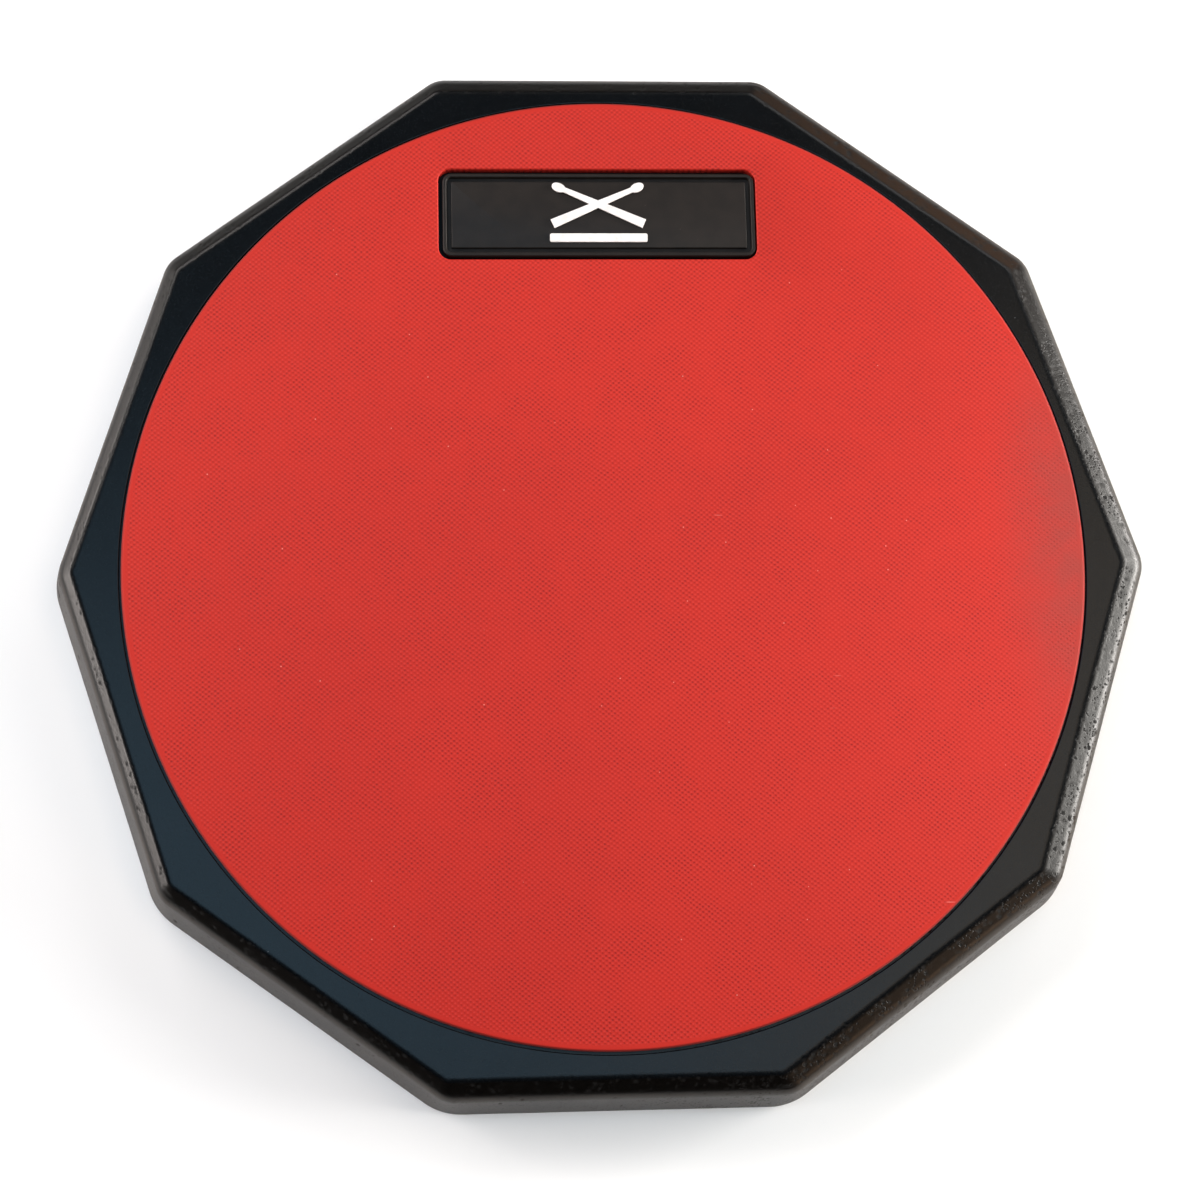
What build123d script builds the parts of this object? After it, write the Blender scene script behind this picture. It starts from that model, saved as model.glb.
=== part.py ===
"""Ten-sided rubber drum practice pad, 12 inches across its corners.

Millimetres. The origin is the centre of the underside, +Z is up, +Y points to the badge and the
corners lie on the X axis. Every piece is fixed to its neighbours: the pad has no moving parts.
"""

from build123d import *
import os
from math import cos, radians

# Moulded body: three stacked outlines, each given by the distance from its middle to its flats. The top
# outline is trimmed a little off the middle, so the bevel is wider on the +X side.
SIDES = 10
CORNER_HALF_ANGLE = 180 / SIDES
FOOT_INRADIUS = 145.9
SHOULDER_INRADIUS = 141.6
TOP_INRADIUS = 136.5
BODY_CENTRE = (0, 0)
TOP_CENTRE = (-1.5, 0)
FOOT_CORNER = 18.0
SHOULDER_CORNER = 8.0
TOP_CORNER = 3.5
WALL_HEIGHT = 20.0
BODY_HEIGHT = 23.0
SHOULDER_ROUND = 2.2
FOOT_ROUND = 0.8
TOP_ROUND = 1.0

# Pocket under the body, and the discs that fill it.
POCKET_RADIUS = 120.0
POCKET_DEPTH = 13.0
PAD_RECESS = 0.5
PAD_THICKNESS = 2.5
DISC_GAP = 0.4
RIB_GROOVES = 9
RIB_PITCH = 10.0
RIB_GROOVE_WIDTH = 2.4
RIB_GROOVE_DEPTH = 0.9

# Stand insert: M8 thread in a flanged steel bush, with three countersunk screws.
THREAD_CORE_RADIUS = 3.4
THREAD_MOUTH = 0.8
BARREL_RADIUS = 7.0
BARREL_END_WALL = 1.0
FLANGE_RADIUS = 20.0
FLANGE_THICKNESS = 2.0
SCREW_COUNT = 3
SCREW_CIRCLE_RADIUS = 13.5
SCREW_RADIUS = 1.75
SCREW_HEAD_RADIUS = 3.3
SCREW_POINT = 1.6
SCREW_LENGTH = 10.0
SCREW_GAP = 0.05
CROSS_SLOT = (3.4, 0.8, 0.9)

# Red playing sheet, glued into a shallow round seat in the top face that is a little wider than it.
SHEET_RADIUS = 131.1
SHEET_RISE = 2.0
SHEET_CENTRE = (-0.3, 1.4)
SHEET_ROUND = 1.2
SEAT_DEPTH = 0.8
SEAT_GAP = 0.8

# Badge in its window in the sheet.
WINDOW_SIZE = (88.9, 26.3)
WINDOW_CENTRE = (-1.2, 99.7)
WINDOW_CORNER = 3.4
WINDOW_ROUND = 0.4
BADGE_SIZE = (87.4, 24.2)
BADGE_CENTRE = (-0.8, 99.6)
BADGE_CORNER = 2.6
BADGE_BORDER = 1.2
BADGE_BORDER_ROUND = 0.4
BADGE_GROOVE = 1.3
BADGE_GROOVE_DEPTH = 1.0
BADGE_TOP = 1.8
PANEL_DROP = 0.2
TAPE_THICKNESS = 0.4
TAPE_INSET = 1.2

# White raised marks on the badge: a pair of crossed sticks above a plain bar.
MARK_RAISE = 0.5
STICKS_CENTRE = (-1.1, 102.6)
STICK_LENGTH = 28.0
STICK_ANGLE = 24.0
STICK_BUTT_WIDTH = 2.6
STICK_NECK_WIDTH = 1.3
STICK_TIP = (2.0, 1.25)
BAR_CENTRE = (-1.1, 92.8)
BAR_SIZE = (27.2, 2.4)
BAR_CORNER = 0.5

# Heights that follow from the sizes above.
PAD_BOTTOM = PAD_RECESS
BOARD_BOTTOM = PAD_BOTTOM + PAD_THICKNESS
BOARD_THICKNESS = POCKET_DEPTH - BOARD_BOTTOM
FLANGE_BOTTOM = BOARD_BOTTOM - FLANGE_THICKNESS
BARREL_TOP = POCKET_DEPTH - DISC_GAP
SEAT_FLOOR = BODY_HEIGHT - SEAT_DEPTH
BADGE_BASE = SEAT_FLOOR + TAPE_THICKNESS
BADGE_RIM = BODY_HEIGHT + BADGE_TOP
PANEL_TOP = BADGE_RIM - PANEL_DROP
GROOVE_FLOOR = PANEL_TOP - BADGE_GROOVE_DEPTH
DISC_RADIUS = POCKET_RADIUS - DISC_GAP


def at(centre, height):
    """Return the level plane through a point of the plan at a height."""
    return Plane((centre[0], centre[1], height))


def inset(size, distance):
    """Return a rectangle's size after every side has moved inward by a distance."""
    return (size[0] - 2 * distance, size[1] - 2 * distance)


# Moulded body: sloping wall, bevelled rim, the sheet's seat on top and the pocket underneath.
foot_outline = (BODY_CENTRE, 0, FOOT_INRADIUS, FOOT_CORNER)
shoulder_outline = (BODY_CENTRE, WALL_HEIGHT, SHOULDER_INRADIUS, SHOULDER_CORNER)
top_outline = (TOP_CENTRE, BODY_HEIGHT, TOP_INRADIUS, TOP_CORNER)

with BuildPart() as base_body:
    for outlines in ((foot_outline, shoulder_outline), (shoulder_outline, top_outline)):
        for centre, height, inradius, corner in outlines:
            with BuildSketch(at(centre, height)) as outline:
                RegularPolygon(radius=inradius, side_count=SIDES, major_radius=False)
                fillet(outline.vertices(), radius=corner)
        loft(ruled=True)
    shoulder_edges = base_body.edges().filter_by_position(Axis.Z, WALL_HEIGHT - 0.1, WALL_HEIGHT + 0.1)
    fillet(shoulder_edges, radius=SHOULDER_ROUND)
    fillet(base_body.faces().sort_by(Axis.Z)[-1].edges(), radius=TOP_ROUND)
    fillet(base_body.faces().sort_by(Axis.Z)[0].edges(), radius=FOOT_ROUND)
    with BuildSketch(Plane.XY):
        Circle(POCKET_RADIUS)
    extrude(amount=POCKET_DEPTH, mode=Mode.SUBTRACT)
    with BuildSketch(at(SHEET_CENTRE, SEAT_FLOOR)):
        Circle(SHEET_RADIUS + SEAT_GAP)
    extrude(amount=SEAT_DEPTH, mode=Mode.SUBTRACT)

# Fibreboard disc in the top of the pocket, drilled for the insert and its screws.
with BuildPart() as core_board:
    with BuildSketch(Plane.XY.offset(BOARD_BOTTOM)):
        Circle(DISC_RADIUS)
        Circle(BARREL_RADIUS + DISC_GAP, mode=Mode.SUBTRACT)
    extrude(amount=BOARD_THICKNESS)
    with BuildSketch(Plane.XY.offset(BOARD_BOTTOM)):
        with PolarLocations(SCREW_CIRCLE_RADIUS, SCREW_COUNT, start_angle=90):
            Circle(SCREW_RADIUS + SCREW_GAP)
    extrude(amount=SCREW_LENGTH - FLANGE_THICKNESS + SCREW_GAP, mode=Mode.SUBTRACT)

# Ribbed non-slip disc that closes the pocket, open in the middle for the insert's flange.
with BuildPart() as bottom_pad:
    with BuildSketch(Plane.XY.offset(PAD_BOTTOM)):
        Circle(DISC_RADIUS)
        Circle(FLANGE_RADIUS + DISC_GAP, mode=Mode.SUBTRACT)
    extrude(amount=PAD_THICKNESS)
    with BuildSketch(Plane.XY.offset(PAD_BOTTOM)):
        for index in reversed(range(RIB_GROOVES)):
            groove_radius = FLANGE_RADIUS + RIB_PITCH * (index + 1)
            Circle(groove_radius + RIB_GROOVE_WIDTH / 2)
            Circle(groove_radius - RIB_GROOVE_WIDTH / 2, mode=Mode.SUBTRACT)
    extrude(amount=RIB_GROOVE_DEPTH, mode=Mode.SUBTRACT)

# Flanged steel insert: blind M8 thread from below, countersinks for three screws.
with BuildPart() as stand_insert:
    with BuildSketch(Plane.XY.offset(FLANGE_BOTTOM)):
        Circle(FLANGE_RADIUS)
    extrude(amount=FLANGE_THICKNESS)
    with BuildSketch(Plane.XY.offset(BOARD_BOTTOM)):
        Circle(BARREL_RADIUS)
    extrude(amount=BARREL_TOP - BOARD_BOTTOM)
    with BuildSketch(Plane.XY.offset(FLANGE_BOTTOM)):
        Circle(THREAD_CORE_RADIUS)
    extrude(amount=BARREL_TOP - BARREL_END_WALL - FLANGE_BOTTOM, mode=Mode.SUBTRACT)
    underside_edges = stand_insert.edges().filter_by(GeomType.CIRCLE).group_by(Axis.Z)[0].sort_by(SortBy.RADIUS)
    chamfer(underside_edges[0], length=THREAD_MOUTH)
    chamfer(underside_edges[-1], length=FLANGE_THICKNESS / 4)
    with Locations(Plane.XY.offset(FLANGE_BOTTOM).rotated((180, 0, 0))):
        with PolarLocations(SCREW_CIRCLE_RADIUS, SCREW_COUNT, start_angle=-90):
            CounterSinkHole(
                radius=SCREW_RADIUS + 2 * SCREW_GAP,
                counter_sink_radius=SCREW_HEAD_RADIUS + 2 * SCREW_GAP,
                counter_sink_angle=90,
                depth=FLANGE_THICKNESS,
            )

# Countersunk screws, head down, with a cross recess in each head.
with BuildPart() as insert_screws:
    head_height = SCREW_HEAD_RADIUS - SCREW_RADIUS
    with Locations(Plane.XY.offset(FLANGE_BOTTOM)):
        with PolarLocations(SCREW_CIRCLE_RADIUS, SCREW_COUNT, start_angle=90):
            Cone(SCREW_HEAD_RADIUS, SCREW_RADIUS, head_height, align=(Align.CENTER, Align.CENTER, Align.MIN))
    with Locations(Plane.XY.offset(FLANGE_BOTTOM + head_height)):
        with PolarLocations(SCREW_CIRCLE_RADIUS, SCREW_COUNT, start_angle=90):
            Cylinder(
                SCREW_RADIUS,
                SCREW_LENGTH - head_height - SCREW_POINT,
                align=(Align.CENTER, Align.CENTER, Align.MIN),
            )
    with Locations(Plane.XY.offset(FLANGE_BOTTOM + SCREW_LENGTH - SCREW_POINT)):
        with PolarLocations(SCREW_CIRCLE_RADIUS, SCREW_COUNT, start_angle=90):
            Cone(SCREW_RADIUS, SCREW_RADIUS / 8, SCREW_POINT, align=(Align.CENTER, Align.CENTER, Align.MIN))
    with BuildSketch(Plane.XY.offset(FLANGE_BOTTOM)):
        with PolarLocations(SCREW_CIRCLE_RADIUS, SCREW_COUNT, start_angle=90):
            Rectangle(CROSS_SLOT[0], CROSS_SLOT[1])
            Rectangle(CROSS_SLOT[1], CROSS_SLOT[0])
    extrude(amount=CROSS_SLOT[2], mode=Mode.SUBTRACT)

# Playing sheet with the badge window.
with BuildPart() as playing_sheet:
    with BuildSketch(at(SHEET_CENTRE, SEAT_FLOOR)):
        Circle(SHEET_RADIUS)
    extrude(amount=SEAT_DEPTH + SHEET_RISE)
    fillet(playing_sheet.faces().sort_by(Axis.Z)[-1].edges(), radius=SHEET_ROUND)
    with BuildSketch(at(WINDOW_CENTRE, SEAT_FLOOR)):
        RectangleRounded(*WINDOW_SIZE, WINDOW_CORNER)
    extrude(amount=SEAT_DEPTH + SHEET_RISE, mode=Mode.SUBTRACT)
    fillet(playing_sheet.faces().sort_by(Axis.Z)[-1].inner_wires()[0].edges(), radius=WINDOW_ROUND)

# Double-sided tape under the badge.
with BuildPart() as badge_tape:
    with BuildSketch(at(BADGE_CENTRE, SEAT_FLOOR)):
        RectangleRounded(*inset(BADGE_SIZE, TAPE_INSET), BADGE_CORNER - TAPE_INSET)
    extrude(amount=TAPE_THICKNESS)

# Badge: raised border, groove, flat panel.
with BuildPart() as badge_plate:
    with BuildSketch(at(BADGE_CENTRE, BADGE_BASE)):
        RectangleRounded(*BADGE_SIZE, BADGE_CORNER)
    extrude(amount=BADGE_RIM - BADGE_BASE)
    fillet(badge_plate.faces().sort_by(Axis.Z)[-1].edges(), radius=BADGE_BORDER_ROUND)
    with BuildSketch(at(BADGE_CENTRE, PANEL_TOP)):
        RectangleRounded(*inset(BADGE_SIZE, BADGE_BORDER), BADGE_CORNER - BADGE_BORDER)
    extrude(amount=PANEL_DROP, mode=Mode.SUBTRACT)
    with BuildSketch(at(BADGE_CENTRE, GROOVE_FLOOR)):
        RectangleRounded(*inset(BADGE_SIZE, BADGE_BORDER), BADGE_CORNER - BADGE_BORDER)
        Rectangle(*inset(BADGE_SIZE, BADGE_BORDER + BADGE_GROOVE), mode=Mode.SUBTRACT)
    extrude(amount=BADGE_GROOVE_DEPTH, mode=Mode.SUBTRACT)

# Crossed sticks: each tapers from its butt to the neck behind an oval tip.
with BuildPart() as badge_emblem:
    with BuildSketch(at(STICKS_CENTRE, PANEL_TOP)):
        half = STICK_LENGTH / 2
        neck = half - STICK_TIP[0]
        for angle in (STICK_ANGLE, 180 - STICK_ANGLE):
            with Locations(Location((0, 0, 0), (0, 0, angle))):
                Polygon(
                    (-half, -STICK_BUTT_WIDTH / 2),
                    (neck, -STICK_NECK_WIDTH / 2),
                    (neck, STICK_NECK_WIDTH / 2),
                    (-half, STICK_BUTT_WIDTH / 2),
                    align=None,
                )
                with Locations((neck, 0)):
                    Ellipse(*STICK_TIP)
    extrude(amount=MARK_RAISE)

with BuildPart() as badge_bar:
    with BuildSketch(at(BAR_CENTRE, PANEL_TOP)):
        RectangleRounded(*BAR_SIZE, BAR_CORNER)
    extrude(amount=MARK_RAISE)

# One labelled STEP file per piece.
pieces = {
    "base_body": base_body,
    "core_board": core_board,
    "bottom_pad": bottom_pad,
    "stand_insert": stand_insert,
    "insert_screws": insert_screws,
    "playing_sheet": playing_sheet,
    "badge_tape": badge_tape,
    "badge_plate": badge_plate,
    "badge_emblem": badge_emblem,
    "badge_bar": badge_bar,
}

os.makedirs("parts", exist_ok=True)
for name, piece in pieces.items():
    piece.part.label = name
    export_step(piece.part, f"parts/{name}.step")

corner_reach = FOOT_INRADIUS / cos(radians(CORNER_HALF_ANGLE))
corner_loss = FOOT_CORNER * (1 / cos(radians(CORNER_HALF_ANGLE)) - 1)
print("across rounded corners", round(2 * (corner_reach - corner_loss), 2), "mm")
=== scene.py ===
"""Looks of the ten-sided drum practice pad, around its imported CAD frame. Metres, +Z up, +Y to the badge."""

import math

import bmesh
import bpy
import numpy as np
from mathutils import Matrix, Vector


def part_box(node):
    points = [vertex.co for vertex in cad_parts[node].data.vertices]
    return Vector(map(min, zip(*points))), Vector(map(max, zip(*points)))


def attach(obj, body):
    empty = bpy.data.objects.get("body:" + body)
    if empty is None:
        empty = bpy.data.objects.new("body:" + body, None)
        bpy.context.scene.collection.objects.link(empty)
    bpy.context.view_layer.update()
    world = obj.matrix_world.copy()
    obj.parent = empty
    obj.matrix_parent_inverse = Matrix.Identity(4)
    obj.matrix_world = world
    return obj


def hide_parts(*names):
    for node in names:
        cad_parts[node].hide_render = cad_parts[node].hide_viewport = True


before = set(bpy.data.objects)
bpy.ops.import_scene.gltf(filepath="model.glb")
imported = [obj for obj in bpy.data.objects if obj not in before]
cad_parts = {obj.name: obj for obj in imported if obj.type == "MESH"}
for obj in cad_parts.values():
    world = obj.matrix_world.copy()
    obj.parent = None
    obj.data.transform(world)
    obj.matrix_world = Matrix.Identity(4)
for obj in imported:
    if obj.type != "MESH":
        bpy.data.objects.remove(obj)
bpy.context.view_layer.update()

MM = 0.001
SEED = 7

# ---------------------------------------------------------------- sizes, as in the CAD source

SIDES = 10
CORNER_HALF_ANGLE = math.pi / SIDES
FOOT_INRADIUS = 145.9 * MM
SHOULDER_INRADIUS = 141.6 * MM
TOP_INRADIUS = 136.5 * MM
FOOT_CORNER = 18.0 * MM
SHOULDER_CORNER = 8.0 * MM
TOP_CORNER = 3.5 * MM
TOP_SHIFT = -1.5 * MM  # the bevel is trimmed a little off centre
WALL_HEIGHT = 20.0 * MM
BODY_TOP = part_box("base_body")[1].z
PIT_DEPTH = 0.09 * MM
SMOOTH_TOP_ROWS = 8
POCKET_RADIUS = 120.0 * MM
POCKET_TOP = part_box("core_board")[1].z

SHEET_LOW, SHEET_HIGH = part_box("playing_sheet")
SHEET_CENTRE = (SHEET_LOW + SHEET_HIGH) / 2
SHEET_RADIUS = (SHEET_HIGH.x - SHEET_LOW.x) / 2
SHEET_ROUND = 0.8 * MM
SEAT_GAP = 0.8 * MM
SEAT_RADIUS = SHEET_RADIUS + SEAT_GAP
WINDOW_CENTRE = (-1.2 * MM, 99.7 * MM)
WINDOW_SIZE = (88.9 * MM, 26.3 * MM)
WINDOW_CORNER = 3.4 * MM
WINDOW_ROUND = 0.4 * MM

BADGE_LOW, BADGE_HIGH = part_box("badge_plate")
BADGE_CENTRE = ((BADGE_LOW.x + BADGE_HIGH.x) / 2, (BADGE_LOW.y + BADGE_HIGH.y) / 2)
BADGE_SIZE = (BADGE_HIGH.x - BADGE_LOW.x, BADGE_HIGH.y - BADGE_LOW.y)
BADGE_CORNER = 2.6 * MM
BADGE_BORDER = 1.2 * MM
BADGE_GROOVE = 1.3 * MM
BADGE_GROOVE_DEPTH = 1.0 * MM
BADGE_ROUND_OUTSIDE = 0.5 * MM
BADGE_ROUND_INSIDE = 0.35 * MM
PANEL_CORNER = 0.3 * MM
PANEL_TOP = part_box("badge_emblem")[0].z

# ---------------------------------------------------------------- mesh tools


def decagon(inradius, corner, height, shift=0.0, arc_steps=14, side_steps=200):
    """Return a closed ring of points: a ten-sided outline with round corners, shifted along X."""
    reach = (inradius - corner) / math.cos(CORNER_HALF_ANGLE)
    arcs = []
    for index in range(SIDES):
        middle = 2 * CORNER_HALF_ANGLE * index
        turn = np.linspace(middle - CORNER_HALF_ANGLE, middle + CORNER_HALF_ANGLE, arc_steps + 1)
        arc = np.stack([np.cos(turn), np.sin(turn)], axis=1) * corner
        arcs.append(arc + reach * np.array([math.cos(middle), math.sin(middle)]))
    parts = []
    for index in range(SIDES):
        start, end = arcs[index][-1], arcs[(index + 1) % SIDES][0]
        share = np.arange(1, side_steps)[:, None] / side_steps
        parts.append(arcs[index])
        parts.append(start + (end - start) * share)
    plan = np.concatenate(parts) + np.array([shift, 0.0])
    return np.column_stack([plan, np.full(len(plan), height)])


def circle_like(ring, radius, height, centre=(0.0, 0.0)):
    """Return a circle with the same number of points as a ring, at the same bearings."""
    bearing = np.arctan2(ring[:, 1] - centre[1], ring[:, 0] - centre[0])
    return np.column_stack([
        centre[0] + radius * np.cos(bearing),
        centre[1] + radius * np.sin(bearing),
        np.full(len(ring), height),
    ])


def circle(radius, height, steps, centre=(0.0, 0.0)):
    """Return a ring of evenly spaced points on a circle."""
    turn = np.linspace(0, 2 * math.pi, steps, endpoint=False)
    return np.column_stack([
        centre[0] + radius * np.cos(turn),
        centre[1] + radius * np.sin(turn),
        np.full(steps, height),
    ])


def round_rectangle(size, corner, height, centre, arc_steps=10, long_steps=40, short_steps=12):
    """Return a ring of points on a rectangle with round corners, from its +X +Y corner on."""
    half_x, half_y = size[0] / 2 - corner, size[1] / 2 - corner
    quarters = ((half_x, half_y, 0), (-half_x, half_y, 1), (-half_x, -half_y, 2), (half_x, -half_y, 3))
    arcs = []
    for x, y, quarter in quarters:
        turn = np.linspace(0, math.pi / 2, arc_steps + 1) + quarter * math.pi / 2
        arcs.append(np.stack([np.cos(turn), np.sin(turn)], axis=1) * corner + np.array([x, y]))
    parts = []
    for index in range(4):
        start, end = arcs[index][-1], arcs[(index + 1) % 4][0]
        steps = (long_steps, short_steps)[index % 2]
        share = np.arange(1, steps)[:, None] / steps
        parts.append(arcs[index])
        parts.append(start + (end - start) * share)
    plan = np.concatenate(parts) + np.array(centre)
    return np.column_stack([plan, np.full(len(plan), height)])


def skin(name, rings, cap_first=True, cap_last=True):
    """Make a mesh object by joining rings of equal length, each to the next, with flat caps at the ends."""
    count = len(rings[0])
    here = np.arange(count)
    after = (here + 1) % count
    faces = []
    for row in range(len(rings) - 1):
        low, high = row * count, (row + 1) * count
        faces.extend(np.column_stack([low + here, low + after, high + after, high + here]).tolist())
    if cap_first:
        faces.append(list(reversed(range(count))))
    if cap_last:
        faces.append([(len(rings) - 1) * count + index for index in range(count)])
    return from_faces(name, np.concatenate(rings), faces)


def from_faces(name, points, faces):
    """Make a smooth-shaded mesh object from points and faces."""
    mesh = bpy.data.meshes.new(name)
    mesh.from_pydata([tuple(point) for point in points], [], faces)
    mesh.validate()
    mesh.polygons.foreach_set("use_smooth", [True] * len(mesh.polygons))
    mesh.update()
    made = bpy.data.objects.new(name, mesh)
    bpy.context.scene.collection.objects.link(made)
    return made


def shade_by_angle(piece, degrees):
    """Keep edges sharper than an angle crisp and shade the rest smooth."""
    edges = bmesh.new()
    edges.from_mesh(piece.data)
    limit = math.radians(degrees)
    for edge in edges.edges:
        edge.smooth = len(edge.link_faces) == 2 and edge.calc_face_angle(0) < limit
    edges.to_mesh(piece.data)
    edges.free()


def bend(start, middle, end, steps):
    """Return points of a quadratic curve from start to end, pulled towards the middle, ends included."""
    share = np.linspace(0, 1, steps + 1)[:, None]
    start, middle, end = (np.array(point, float) for point in (start, middle, end))
    return (1 - share) ** 2 * start + 2 * share * (1 - share) * middle + share**2 * end


# ---------------------------------------------------------------- material tools


class Shade:
    """One material and short calls that add nodes to it."""

    def __init__(self, name):
        self.material = bpy.data.materials.new(name)
        self.material.use_nodes = True
        self.tree = self.material.node_tree
        self.tree.nodes.clear()
        self.place = self.add("ShaderNodeTexCoord", output="Object")

    def give(self, socket, value):
        """Link a value to a socket, or set it there if it is a plain one."""
        if isinstance(value, bpy.types.NodeSocket):
            self.tree.links.new(value, socket)
        else:
            socket.default_value = value

    def add(self, kind, inputs=None, output=0, **settings):
        """Add a node, set or link its inputs, and return one of its outputs."""
        node = self.tree.nodes.new(kind)
        for key, value in settings.items():
            setattr(node, key, value)
        for key, value in (inputs or {}).items():
            self.give(node.inputs[key], value)
        return node.outputs[output]

    def noise(self, size, detail=3.0, rough=0.5, vector=None, output="Fac"):
        """Soft noise whose blotches are about a size across, in metres."""
        inputs = {"Vector": vector or self.place, "Scale": 1 / size, "Detail": detail, "Roughness": rough}
        return self.add("ShaderNodeTexNoise", inputs, output)

    def ramp(self, value, low, high, to_low=0.0, to_high=1.0):
        """Map a range of a value to another, with soft ends."""
        inputs = {"Value": value, "From Min": low, "From Max": high, "To Min": to_low, "To Max": to_high}
        return self.add("ShaderNodeMapRange", inputs, "Result", interpolation_type="SMOOTHSTEP")

    def math(self, operation, first, second=0.0, third=0.0):
        """Combine values."""
        return self.add("ShaderNodeMath", {0: first, 1: second, 2: third}, operation=operation)

    def times(self, first, second):
        """Multiply two values."""
        return self.math("MULTIPLY", first, second)

    def blend(self, share, first, second):
        """Mix two values."""
        return self.add("ShaderNodeMix", {0: share, 2: first, 3: second})

    def mix(self, share, first, second):
        """Mix two colours."""
        return self.add("ShaderNodeMix", {0: share, 6: first, 7: second}, 2, data_type="RGBA")

    def vector(self, operation, first, second, output="Vector"):
        """Combine vectors."""
        return self.add("ShaderNodeVectorMath", {0: first, 1: second}, output, operation=operation)

    def height(self):
        """The height of the shaded point."""
        return self.add("ShaderNodeSeparateXYZ", {"Vector": self.place}, "Z")

    def radius(self, centre=(0.0, 0.0, 0.0), reach=(1.0, 1.0)):
        """The distance from an upright axis, in metres or in parts of a reach along X and Y."""
        away = self.vector("SUBTRACT", self.place, centre)
        flat = self.vector("MULTIPLY", away, (1 / reach[0], 1 / reach[1], 0.0))
        return self.vector("LENGTH", flat, (0.0, 0.0, 0.0), "Value")

    def specks(self, spacing, size, share, vector=None):
        """Sparse round dots: 1 inside a dot, 0 outside. share is the part of the cells that have one."""
        cells = self.tree.nodes.new("ShaderNodeTexVoronoi")
        self.tree.links.new(vector or self.place, cells.inputs["Vector"])
        cells.inputs["Scale"].default_value = 1 / spacing
        near = self.ramp(cells.outputs["Distance"], size / spacing / 2, size / spacing, 1.0, 0.0)
        pick = self.add("ShaderNodeSeparateColor", {"Color": cells.outputs["Color"]}, "Red")
        chosen = self.math("LESS_THAN", pick, share)
        return self.times(near, chosen)

    def bump(self, value, depth, strength=1.0, normal=None):
        """Turn a value into a normal, depth metres deep."""
        inputs = {"Height": value, "Distance": depth, "Strength": strength}
        if normal is not None:
            inputs["Normal"] = normal
        return self.add("ShaderNodeBump", inputs)

    def finish(self, **inputs):
        """Close the material with one Principled shader and return it."""
        named = {key.replace("_", " "): value for key, value in inputs.items()}
        surface = self.add("ShaderNodeBsdfPrincipled", named)
        end = self.tree.nodes.new("ShaderNodeOutputMaterial")
        self.tree.links.new(surface, end.inputs["Surface"])
        return self.material


def colour(red, green, blue):
    """A linear colour with full alpha."""
    return (red, green, blue, 1.0)


def dress(piece, *materials):
    """Give a piece these materials in place of its own."""
    piece.data.materials.clear()
    for material in materials:
        piece.data.materials.append(material)


# ---------------------------------------------------------------- materials


def body_pits(shade):
    """Return the bevel's moulding pits, which carry painted shade, in clusters that get denser on the right
    side: 1 in a pit.
    """
    swerve = 0.9 * MM
    ragged = shade.vector("MULTIPLY", shade.noise(0.7 * MM, detail=2.0, output="Color"), (swerve,) * 3)
    ragged = shade.vector("ADD", shade.place, ragged)
    pits_denser_right = shade.vector("DOT_PRODUCT", shade.place, (0.93, -0.36, 0.0), "Value")
    pits_denser_right = shade.ramp(pits_denser_right, 40 * MM, 125 * MM, 0.15, 1.0)
    cluster = shade.times(shade.ramp(shade.noise(8 * MM, detail=3.0), 0.40, 0.55), pits_denser_right)
    small = shade.specks(0.9 * MM, 0.40 * MM, 0.55, ragged)
    large = shade.specks(2.2 * MM, 0.80 * MM, 0.30, ragged)
    return shade.times(shade.math("MAXIMUM", small, large), cluster)


def body_top_colour(shade, cloud, grain):
    """Return the blue-black of the smooth top face, with fine grain and dust."""
    low, high = colour(0.0008, 0.0013, 0.0020), colour(0.0014, 0.0021, 0.0030)
    top = shade.mix(shade.ramp(cloud, 0.35, 0.65), low, high)
    top = shade.mix(shade.ramp(grain, 0.40, 0.72, 0.0, 0.5), top, colour(0.006, 0.007, 0.008))
    dust = shade.specks(5.5 * MM, 0.22 * MM, 0.5)
    return shade.mix(shade.times(dust, 0.5), top, colour(0.12, 0.13, 0.14))


def body_bevel_colour(shade, mottle, grain, pit):
    """Return the brown-black of the bevel, with painted shade in its pits."""
    low, high = colour(0.0008, 0.0006, 0.0005), colour(0.0024, 0.0018, 0.0014)
    bevel = shade.mix(shade.ramp(mottle, 0.3, 0.75), low, high)
    bevel = shade.mix(shade.ramp(grain, 0.40, 0.72, 0.0, 0.4), bevel, colour(0.0065, 0.0048, 0.0036))
    # painted shade: the pits are painted darker than the bevel round them
    return shade.mix(pit, bevel, colour(0.0004, 0.0004, 0.0004))


def seat_painted_shade(shade, height):
    """Return where the painted shade goes: 1 on the walls of the seat round the sheet, where no light gets
    in, and 0 elsewhere.
    """
    near = shade.ramp(shade.radius(), 133.6 * MM, 133.9 * MM, 1.0, 0.0)
    below = shade.ramp(height, BODY_TOP - 0.3 * MM, BODY_TOP - 0.05 * MM, 1.0, 0.0)
    return shade.times(shade.times(near, below), shade.math("GREATER_THAN", height, BODY_TOP - 2.0 * MM))


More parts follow.
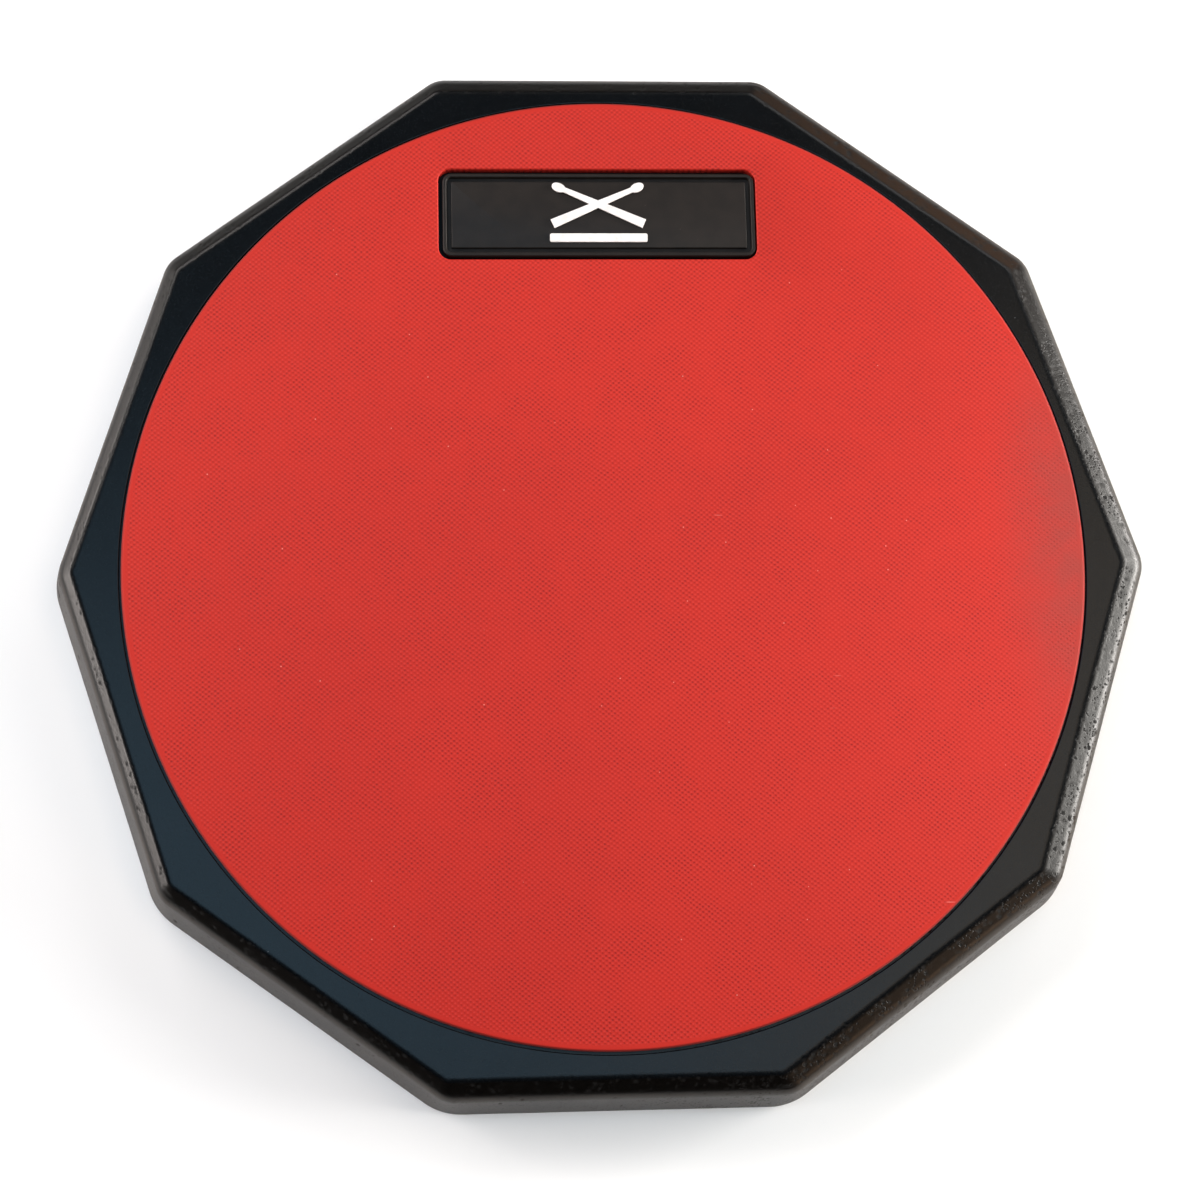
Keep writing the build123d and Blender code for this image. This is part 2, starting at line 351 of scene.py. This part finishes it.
def body_rubber():
    """Moulded black rubber: smooth blue-black top face, mottled and pitted bevel, cloudy wall, with painted
    shade in the pits and in the seat round the sheet.
    """
    shade = Shade("body_rubber")
    height = shade.height()
    on_top = shade.ramp(height, BODY_TOP - 0.35 * MM, BODY_TOP - 0.08 * MM)
    on_wall = shade.ramp(height, WALL_HEIGHT - 0.4 * MM, WALL_HEIGHT + 0.8 * MM, 1.0, 0.0)
    crater = shade.add("ShaderNodeAttribute", output="Fac", attribute_name="pit")
    pinhole = body_pits(shade)
    pit = shade.math("MAXIMUM", crater, pinhole)
    grain = shade.noise(0.35 * MM, detail=4.0, rough=0.7)
    cloud = shade.noise(14 * MM, detail=4.0, rough=0.6)
    mottle = shade.noise(0.6 * MM, detail=5.0, rough=0.7)

    top = body_top_colour(shade, cloud, grain)
    bevel = body_bevel_colour(shade, mottle, grain, pit)
    low, high = colour(0.017, 0.0130, 0.0100), colour(0.030, 0.0240, 0.0190)
    wall = shade.mix(shade.ramp(cloud, 0.3, 0.7), low, high)
    base = shade.mix(on_top, shade.mix(on_wall, bevel, wall), top)
    # painted shade: the walls of the seat round the sheet are painted near-black, as the shade in that gap
    base = shade.mix(seat_painted_shade(shade, height), base, colour(0.0005, 0.0005, 0.0005))

    rough_side = shade.math("MULTIPLY_ADD", pit, 0.55, shade.ramp(mottle, 0.3, 0.7, 0.28, 0.33))
    rough_side = shade.math("MULTIPLY_ADD", on_wall, 0.14, rough_side)
    rough = shade.blend(on_top, rough_side, shade.ramp(grain, 0.3, 0.7, 0.21, 0.28))
    wavy = shade.math("MULTIPLY_ADD", pinhole, -4.0, shade.times(mottle, 0.9))
    fine = shade.bump(grain, 0.014 * MM)
    normal = shade.bump(shade.blend(on_top, wavy, grain), 0.014 * MM, 1.0, fine)
    return shade.finish(Base_Color=base, Roughness=rough, Normal=normal, Specular_IOR_Level=0.22)


def cloth_imprint(shade, place):
    """Return the dots and the ridges that a fine cloth, laid on the slant, leaves in rubber."""
    waves = []
    for bearing, pitch in ((131.9, 1.03 * MM), (52.3, 1.02 * MM)):
        turn = math.radians(bearing)
        step = (2 * math.pi / pitch * math.cos(turn), 2 * math.pi / pitch * math.sin(turn), 0.0)
        waves.append(shade.math("COSINE", shade.vector("DOT_PRODUCT", place, step, "Value")))
    weave = shade.math("ADD", waves[0], waves[1])
    wide_fade = shade.ramp(shade.noise(11 * MM, detail=3.0), 0.3, 0.7, 0.5, 1.0)
    close_fade = shade.ramp(shade.noise(0.9 * MM, detail=2.0), 0.3, 0.65, 0.35, 1.2)
    dots = shade.times(shade.ramp(weave, -1.7, 0.1, 1.0, 0.0), shade.times(wide_fade, close_fade))
    return dots, shade.ramp(weave, 0.2, 1.8)


def worn_patch(shade):
    """Return how worn the sheet is: most at its right edge, fading inwards."""
    distance = shade.radius((132 * MM, 6 * MM, 0.0), (30 * MM, 86 * MM))
    uneven = shade.ramp(shade.noise(6 * MM, detail=4.0), 0.3, 0.65, 0.5, 0.75)
    return shade.times(shade.ramp(distance, 0.1, 1.0, 1.0, 0.0), uneven)


def red_rubber():
    """Matte red rubber with the imprint of a fine cloth, specks, scuffs, a worn patch and painted shade on
    its rim.
    """
    shade = Shade("red_rubber")
    wander = shade.vector("SUBTRACT", shade.noise(9 * MM, detail=2.0, output="Color"), (0.5, 0.5, 0.5))
    wander = shade.vector("MULTIPLY", wander, (0.9 * MM, 0.9 * MM, 0.0))
    place = shade.vector("ADD", shade.place, wander)
    radius = shade.radius(tuple(SHEET_CENTRE))
    inside = shade.ramp(radius, SHEET_RADIUS - 2.2 * MM, SHEET_RADIUS - 1.2 * MM, 1.0, 0.0)
    # edge masks the rounded rim, which gets painted shade and more roughness
    edge = shade.ramp(radius, SHEET_RADIUS - 0.7 * MM, SHEET_RADIUS - 0.25 * MM)
    dots, ridges = (shade.times(mark, inside) for mark in cloth_imprint(shade, place))

    cloud = shade.noise(60 * MM, detail=3.0)
    low, high = colour(0.452, 0.0130, 0.0055), colour(0.482, 0.0150, 0.0068)
    base = shade.mix(shade.ramp(cloud, 0.3, 0.7), low, high)
    base = shade.mix(dots, base, colour(0.28, 0.007, 0.005))
    base = shade.mix(shade.times(ridges, 0.45), base, colour(0.58, 0.044, 0.032))
    base = shade.mix(worn_patch(shade), base, colour(0.27, 0.036, 0.028))
    specks = shade.specks(5 * MM, 0.24 * MM, 0.4)
    base = shade.mix(shade.times(specks, 0.5), base, colour(0.80, 0.36, 0.30))
    drawn_out = shade.vector("MULTIPLY", place, (0.12, 1.0, 1.0))
    scuffs = shade.specks(3.5 * MM, 0.28 * MM, 0.10, drawn_out)
    base = shade.mix(shade.times(scuffs, 0.38), base, colour(0.80, 0.30, 0.25))
    # painted shade: the rounded rim is painted a darker red
    base = shade.mix(edge, base, colour(0.20, 0.012, 0.009))

    grain = shade.noise(0.3 * MM, detail=3.0)
    relief = shade.math("MULTIPLY_ADD", grain, 0.25, shade.times(dots, -1.0))
    rough = shade.math("MULTIPLY_ADD", edge, 0.25, shade.ramp(cloud, 0.3, 0.7, 0.60, 0.66))
    normal = shade.bump(relief, 0.05 * MM)
    return shade.finish(Base_Color=base, Roughness=rough, Normal=normal, Specular_IOR_Level=0.28)


def badge_black():
    """Soft black moulded plastic, satin, a little dusty."""
    shade = Shade("badge_black")
    cloud = shade.noise(5 * MM, detail=4.0)
    low, high = colour(0.0050, 0.0030, 0.0022), colour(0.0085, 0.0056, 0.0042)
    base = shade.mix(shade.ramp(cloud, 0.3, 0.7), low, high)
    dust = shade.specks(2.4 * MM, 0.12 * MM, 0.22)
    base = shade.mix(shade.times(dust, 0.35), base, colour(0.22, 0.17, 0.16))
    grain = shade.noise(0.25 * MM, detail=4.0)
    rough = shade.ramp(grain, 0.3, 0.7, 0.46, 0.58)
    normal = shade.bump(grain, 0.012 * MM)
    return shade.finish(Base_Color=base, Roughness=rough, Normal=normal, Specular_IOR_Level=0.27)


def badge_white():
    """Soft white moulded plastic, slightly warm, with faint soiling."""
    shade = Shade("badge_white")
    cloud = shade.noise(2.2 * MM, detail=4.0)
    base = shade.mix(shade.ramp(cloud, 0.35, 0.75), colour(0.88, 0.84, 0.83), colour(0.72, 0.68, 0.66))
    grain = shade.noise(0.3 * MM, detail=3.0)
    rough = shade.ramp(grain, 0.3, 0.7, 0.42, 0.55)
    return shade.finish(Base_Color=base, Roughness=rough, Normal=shade.bump(grain, 0.015 * MM))


def grip_rubber():
    """Plain black rubber of the ribbed underside disc, dusty on its ribs."""
    shade = Shade("grip_rubber")
    cloud = shade.noise(18 * MM, detail=5.0, rough=0.6)
    base = shade.mix(shade.ramp(cloud, 0.3, 0.7), colour(0.014, 0.014, 0.014), colour(0.034, 0.033, 0.031))
    dust = shade.specks(4 * MM, 0.3 * MM, 0.3)
    base = shade.mix(shade.times(dust, 0.4), base, colour(0.2, 0.19, 0.17))
    grain = shade.noise(0.5 * MM, detail=4.0, rough=0.7)
    rough = shade.ramp(cloud, 0.3, 0.7, 0.62, 0.78)
    return shade.finish(Base_Color=base, Roughness=rough, Normal=shade.bump(grain, 0.05 * MM))


def plated_steel():
    """Zinc-plated steel: fine turned rings and a mild mottling."""
    shade = Shade("plated_steel")
    turned = {"W": shade.radius(), "Scale": 1 / (0.35 * MM), "Detail": 4.0}
    rings = shade.add("ShaderNodeTexNoise", turned, "Fac", noise_dimensions="1D")
    cloud = shade.noise(4 * MM, detail=4.0)
    base = shade.mix(shade.ramp(cloud, 0.3, 0.7), colour(0.52, 0.52, 0.50), colour(0.66, 0.65, 0.61))
    rough = shade.ramp(rings, 0.3, 0.7, 0.28, 0.42)
    return shade.finish(Base_Color=base, Metallic=1.0, Roughness=rough, Normal=shade.bump(rings, 0.01 * MM))


def fibreboard():
    """Raw medium-density fibreboard: brown felt of short fibres."""
    shade = Shade("fibreboard")
    fibre = shade.noise(0.8 * MM, detail=6.0, rough=0.75)
    base = shade.mix(shade.ramp(fibre, 0.3, 0.7), colour(0.30, 0.19, 0.10), colour(0.50, 0.35, 0.21))
    return shade.finish(Base_Color=base, Roughness=0.85, Normal=shade.bump(fibre, 0.1 * MM))


def foam_tape():
    """White foam tape with fine open cells."""
    shade = Shade("foam_tape")
    cells = shade.noise(0.4 * MM, detail=4.0)
    base = shade.mix(shade.ramp(cells, 0.35, 0.65), colour(0.60, 0.59, 0.56), colour(0.78, 0.77, 0.74))
    return shade.finish(Base_Color=base, Roughness=0.8, Normal=shade.bump(cells, 0.05 * MM))


# ---------------------------------------------------------------- pieces


def body_profile():
    """Return the outer profile from the foot up, as rows of (inradius, corner radius, height, shift)."""
    shoulder = (SHOULDER_INRADIUS, SHOULDER_CORNER, WALL_HEIGHT, 0.0)
    top = (TOP_INRADIUS, TOP_CORNER, BODY_TOP, TOP_SHIFT)

    foot = (FOOT_INRADIUS - 0.03 * MM, FOOT_CORNER, 0.0, 0.0)
    foot_inside = (FOOT_INRADIUS - 0.9 * MM, FOOT_CORNER - 0.9 * MM, 0.0, 0.0)

    def between(first, second, share):
        return tuple(a + (b - a) * share for a, b in zip(first, second))

    def on_top(inset):
        return (TOP_INRADIUS - inset, TOP_CORNER - inset, BODY_TOP, TOP_SHIFT)

    rows = list(bend(foot_inside, foot, between(foot, shoulder, 0.05), 4))
    rows += [between(foot, shoulder, share) for share in np.linspace(0.12, 0.80, 8)]
    rows += list(bend(between(foot, shoulder, 0.87), shoulder, between(shoulder, top, 0.42), 9))
    rows += [between(shoulder, top, share) for share in np.linspace(0.48, 0.74, 5)]
    rows += list(bend(between(shoulder, top, 0.79), top, on_top(1.1 * MM), 6))
    rows += [on_top(1.4 * MM), on_top(2.1 * MM)]
    return rows


def pits(ring, rows, amount):
    """Return a depth from 0 to 1 for every point of the side: many pits on the bevel, few below it."""
    chance = np.random.default_rng(SEED)
    step = np.linalg.norm(np.roll(ring, -1, axis=0)[:, :2] - ring[:, :2], axis=1)
    along = np.concatenate([[0.0], np.cumsum(step)[:-1]])
    total = step.sum()
    rows = np.array(rows)
    across = np.concatenate([[0.0], np.cumsum(np.linalg.norm(np.diff(rows[:, [0, 2]], axis=0), axis=1))])
    bevel_start = np.interp(WALL_HEIGHT, rows[:, 2], across)
    bevel_end = np.interp(BODY_TOP, rows[:, 2], across)
    depth = np.zeros((len(rows), len(ring)))
    for _ in range(amount):
        home = chance.uniform(0, total)
        if chance.random() < 0.85:
            level = chance.uniform(bevel_start + 0.3 * MM, bevel_end - 1.6 * MM)
        else:
            level = chance.uniform(0.2 * bevel_start, bevel_start)
        long = chance.uniform(0.3, 0.75) * MM
        short = long * chance.uniform(0.45, 0.9)
        lean = chance.uniform(0, math.pi)
        deep = chance.uniform(0.35, 1.0)
        away = (along - home + total / 2) % total - total / 2
        near = np.abs(away) < 2 * long
        if not near.any():
            continue
        u, v = np.meshgrid(away[near], across - level)
        long_way = (u * math.cos(lean) + v * math.sin(lean)) / long
        short_way = (v * math.cos(lean) - u * math.sin(lean)) / short
        cut = np.clip(1.3 - np.hypot(long_way, short_way), 0, 1) * deep
        depth[:, near] = np.maximum(depth[:, near], cut)
    return depth


def waviness(count):
    """Return the unevenness of a moulded wall round the body, for this many points."""
    chance = np.random.default_rng(SEED + 1)
    turn = np.linspace(0, 2 * math.pi, count, endpoint=False)
    wave = np.zeros(count)
    for periods in (9, 23, 57, 141, 310):
        wave += np.sin(periods * turn + chance.uniform(0, 2 * math.pi)) / math.sqrt(periods)
    return wave


def roughen(rings, rows, depth):
    """Push the rings of the side inwards, square to the profile, by the pits and the waviness."""
    wave = waviness(len(rings[0]))
    slope = np.gradient(np.array(rows)[:, [0, 2]], axis=0)
    slope /= np.linalg.norm(slope, axis=1)[:, None]
    for index, ring in enumerate(rings):
        outward = ring[:, :2] / np.linalg.norm(ring[:, :2], axis=1)[:, None]
        push = -PIT_DEPTH * depth[index]
        if 0 < index < len(rings) - SMOOTH_TOP_ROWS:
            push = push - (0.03 * MM + 0.02 * MM * wave)
        ring[:, :2] += outward * (push * slope[index, 1])[:, None]
        ring[:, 2] -= push * slope[index, 0]


def pocket_rings(foot):
    """Return the rings of the pocket underneath, from its ceiling down to the chamfer at its mouth."""
    chamfer = 0.6 * MM
    return [
        circle_like(foot, POCKET_RADIUS, POCKET_TOP),
        circle_like(foot, POCKET_RADIUS, chamfer),
        circle_like(foot, POCKET_RADIUS + chamfer, 0.0),
    ]


def seat_rings(edge):
    """Return the rings from the flat top face over a rounded lip and down to the seat's floor."""
    centre = (SHEET_CENTRE.x, SHEET_CENTRE.y)
    flat = [circle_like(edge, SEAT_RADIUS + out, BODY_TOP, centre) for out in (0.6 * MM, 0.4 * MM, 0.2 * MM)]
    return flat + [
        circle_like(edge, SEAT_RADIUS + 0.06 * MM, BODY_TOP - 0.06 * MM, centre),
        circle_like(edge, SEAT_RADIUS, BODY_TOP - 0.2 * MM, centre),
        circle_like(edge, SEAT_RADIUS, SHEET_LOW.z, centre),
    ]


def moulded_body():
    """The rubber body: pocket, foot, wall, shoulder, pitted bevel and top face as one closed skin."""
    rows = body_profile()
    rings = [decagon(*row) for row in rows]
    depth = pits(rings[-1], rows, amount=900)
    depth[-2:] = 0
    roughen(rings, rows, depth)
    pocket, seat = pocket_rings(rings[0]), seat_rings(rings[-1])
    body = skin("moulded_body", pocket + rings + seat)
    marks = body.data.attributes.new("pit", "FLOAT", "POINT")
    count = len(rings[0])
    values = [np.zeros(count * len(pocket)), depth.ravel(), np.zeros(count * len(seat))]
    marks.data.foreach_set("value", np.concatenate(values).astype(np.float32))
    shade_by_angle(body, 50)
    dress(body, body_rubber())
    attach(body, "root")
    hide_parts("base_body")


def round_over(ring_at, inward, low, high, radius, steps=5):
    """Return rings up a vertical edge and over its rounded top. ring_at(inward, height) makes one."""
    rings = [ring_at(0.0, low), ring_at(0.0, high - radius)]
    for turn in np.linspace(0, math.pi / 2, steps + 1)[1:]:
        rings.append(ring_at(inward * radius * (1 - math.cos(turn)), high - radius * (1 - math.sin(turn))))
    return rings


def red_sheet():
    """The playing sheet: a thin disc with rounded edges outside and round the badge window."""
    low, high = SHEET_LOW.z, SHEET_HIGH.z
    centre = (SHEET_CENTRE.x, SHEET_CENTRE.y)

    def outside(inward, height):
        return circle(SHEET_RADIUS - inward, height, 720, centre)

    def window(inward, height):
        size = (WINDOW_SIZE[0] + 2 * inward, WINDOW_SIZE[1] + 2 * inward)
        return round_rectangle(size, WINDOW_CORNER + inward, height, WINDOW_CENTRE)

    outer = round_over(outside, 1, low, high, SHEET_ROUND)
    inner = round_over(window, 1, low, high, WINDOW_ROUND)
    build = bmesh.new()
    loops = []
    for rings, flip in ((outer, False), (inner, True)):
        rows = [[build.verts.new(point) for point in ring] for ring in rings]
        for first, second in zip(rows, rows[1:]):
            for index in range(len(first)):
                after = (index + 1) % len(first)
                corners = [first[index], first[after], second[after], second[index]]
                build.faces.new(reversed(corners) if flip else corners)
        loops.append(rows)
    for row in (0, -1):
        edges = []
        for rows in loops:
            ring = rows[row]
            for index, vertex in enumerate(ring):
                edges.append(build.edges.get((vertex, ring[(index + 1) % len(ring)])))
        bmesh.ops.triangle_fill(build, use_beauty=True, edges=edges)
    bmesh.ops.recalc_face_normals(build, faces=build.faces)
    mesh = bpy.data.meshes.new("red_sheet")
    build.to_mesh(mesh)
    build.free()
    mesh.polygons.foreach_set("use_smooth", [True] * len(mesh.polygons))
    sheet = bpy.data.objects.new("red_sheet", mesh)
    bpy.context.scene.collection.objects.link(sheet)
    shade_by_angle(sheet, 40)
    dress(sheet, red_rubber())
    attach(sheet, "root")
    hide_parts("playing_sheet")


def soft_badge():
    """The badge: a softly rounded border, a groove and a flat panel with eased edges."""
    low, rim = BADGE_LOW.z, BADGE_HIGH.z
    floor = PANEL_TOP - BADGE_GROOVE_DEPTH
    panel = BADGE_BORDER + BADGE_GROOVE
    quarter = np.linspace(0, math.pi / 2, 6)[1:]

    def ring(inward, height):
        size = (BADGE_SIZE[0] - 2 * inward, BADGE_SIZE[1] - 2 * inward)
        corner = PANEL_CORNER if inward > panel - 0.1 * MM else BADGE_CORNER - inward
        return round_rectangle(size, corner, height, BADGE_CENTRE)

    rings = [ring(0.0, low), ring(0.0, rim - BADGE_ROUND_OUTSIDE)]
    for turn in quarter:
        inward, drop = 1 - math.cos(turn), 1 - math.sin(turn)
        rings.append(ring(BADGE_ROUND_OUTSIDE * inward, rim - BADGE_ROUND_OUTSIDE * drop))
    for turn in quarter:
        inward, drop = math.sin(turn), 1 - math.cos(turn)
        rings.append(ring(0.8 * MM + BADGE_ROUND_INSIDE * inward, rim - BADGE_ROUND_INSIDE * drop))
    rings += [ring(BADGE_BORDER, floor + 0.15 * MM), ring(BADGE_BORDER + 0.1 * MM, floor)]
    rings += [ring(panel - 0.05 * MM, floor), ring(panel, floor + 0.12 * MM)]
    rings += [ring(panel, PANEL_TOP - 0.14 * MM), ring(panel + 0.05 * MM, PANEL_TOP - 0.05 * MM)]
    rings.append(ring(panel + 0.16 * MM, PANEL_TOP))
    badge = skin("soft_badge", rings)
    shade_by_angle(badge, 50)
    dress(badge, badge_black())
    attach(badge, "root")
    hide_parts("badge_plate")


def eased(node, width, material, segments=3):
    """Keep a CAD node, ease its edges and give it a material."""
    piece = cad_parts[node]
    ease = piece.modifiers.new("eased edges", "BEVEL")
    ease.width = width
    ease.segments = segments
    ease.limit_method = "ANGLE"
    ease.angle_limit = math.radians(30)
    ease.harden_normals = False
    dress(piece, material)


# ---------------------------------------------------------------- stage, light and camera


def stage():
    """A plain pale floor under the pad."""
    floor = skin("floor", [circle(3.0, -0.02 * MM, 96)], cap_first=False, cap_last=True)
    shade = Shade("floor")
    white = colour(0.95, 0.95, 0.95)
    dress(floor, shade.finish(Base_Color=white, Roughness=0.9))


def softbox(name, place, target, size, radiance, tint):
    """A rectangular soft light that faces a target and has a given brightness."""
    lamp = bpy.data.lights.new(name, "AREA")
    lamp.shape = "RECTANGLE"
    lamp.size, lamp.size_y = size
    lamp.energy = radiance * math.pi * size[0] * size[1]
    lamp.color = tint
    holder = bpy.data.objects.new(name, lamp)
    holder.location = place
    holder.rotation_euler = (Vector(target) - Vector(place)).to_track_quat("-Z", "Y").to_euler()
    holder.visible_camera = False
    bpy.context.scene.collection.objects.link(holder)


def light():
    """Strong softboxes low on both sides, weaker high, near and far ones, and two dim ones overhead."""
    softbox("left_low", (-1.3, 0.14, 0.32), (0, 0, 0.02), (1.1, 0.35), 23.0, (1.0, 0.92, 0.88))
    softbox("left_high", (-0.8, 1.05, 1.05), (0, 0.05, 0.02), (1.2, 0.5), 6.9, (1.0, 0.94, 0.90))
    softbox("right_low", (1.3, 0.1, 0.2), (0, 0.05, 0.02), (0.9, 0.3), 46.0, (1.0, 0.96, 0.91))
    softbox("right_middle", (1.3, 0.1, 0.5), (0, 0.05, 0.02), (1.0, 0.3), 10.5, (1.0, 0.98, 0.93))
    softbox("right_high", (0.75, 1.1, 1.0), (0, 0.05, 0.02), (1.0, 0.4), 3.5, (1.0, 0.98, 0.95))
    softbox("right_near", (1.0, -0.9, 0.4), (0, 0, 0.02), (0.5, 0.3), 5.5, (1.0, 0.65, 0.42))
    softbox("right_far", (0.9, 1.1, 0.35), (0, 0, 0.02), (0.6, 0.35), 2.6, (1.0, 0.5, 0.27))
    softbox("ceiling_left", (-0.18, 0.03, 1.6), (-0.18, 0.03, 0), (1.0, 0.66), 3.1, (0.43, 0.72, 0.97))
    softbox("ceiling_right", (0.59, 0.08, 1.6), (0.59, 0.08, 0), (0.54, 0.86), 2.9, (1.0, 0.84, 0.68))


def room():
    """A nearly white room for the camera, and a nearly dark one for everything else."""
    world = bpy.data.worlds.new("room")
    world.use_nodes = True
    nodes, links = world.node_tree.nodes, world.node_tree.links
    nodes.clear()
    seen = nodes.new("ShaderNodeBackground")
    seen.inputs["Color"].default_value = colour(0.95, 0.95, 0.95)
    dim = nodes.new("ShaderNodeBackground")
    dim.inputs["Color"].default_value = colour(1.0, 1.0, 1.0)
    dim.inputs["Strength"].default_value = 0.01
    path = nodes.new("ShaderNodeLightPath")
    choose = nodes.new("ShaderNodeMixShader")
    output = nodes.new("ShaderNodeOutputWorld")
    links.new(path.outputs["Is Camera Ray"], choose.inputs[0])
    links.new(dim.outputs[0], choose.inputs[1])
    links.new(seen.outputs[0], choose.inputs[2])
    links.new(choose.outputs[0], output.inputs["Surface"])
    bpy.context.scene.world = world


def camera():
    """A 68 mm view from above, a little from the near left, with a slight roll."""
    lens = bpy.data.cameras.new("camera")
    lens.lens = 68.2
    lens.sensor_width = 36.0
    holder = bpy.data.objects.new("camera", lens)
    place = Vector((-43.5, -119.6, 628.3)) * MM
    target = Vector((-2.9, -9.4, 23.0)) * MM
    back = (place - target).normalized()
    right = Vector((0, 1, 0)).cross(back).normalized()
    aim = Matrix((right, back.cross(right), back)).transposed().to_4x4()
    roll = Matrix.Rotation(math.radians(-1.27), 4, "Z")
    holder.matrix_world = Matrix.Translation(place) @ aim @ roll
    bpy.context.scene.collection.objects.link(holder)
    bpy.context.scene.camera = holder
    bpy.context.scene.view_settings.view_transform = "Standard"


moulded_body()
red_sheet()
soft_badge()
white = badge_white()
steel = plated_steel()
eased("badge_emblem", 0.14 * MM, white)
eased("badge_bar", 0.14 * MM, white)
eased("bottom_pad", 0.3 * MM, grip_rubber())
eased("stand_insert", 0.12 * MM, steel)
eased("insert_screws", 0.08 * MM, steel)
eased("core_board", 0.2 * MM, fibreboard())
eased("badge_tape", 0.05 * MM, foam_tape())

stage()
light()
room()
camera()
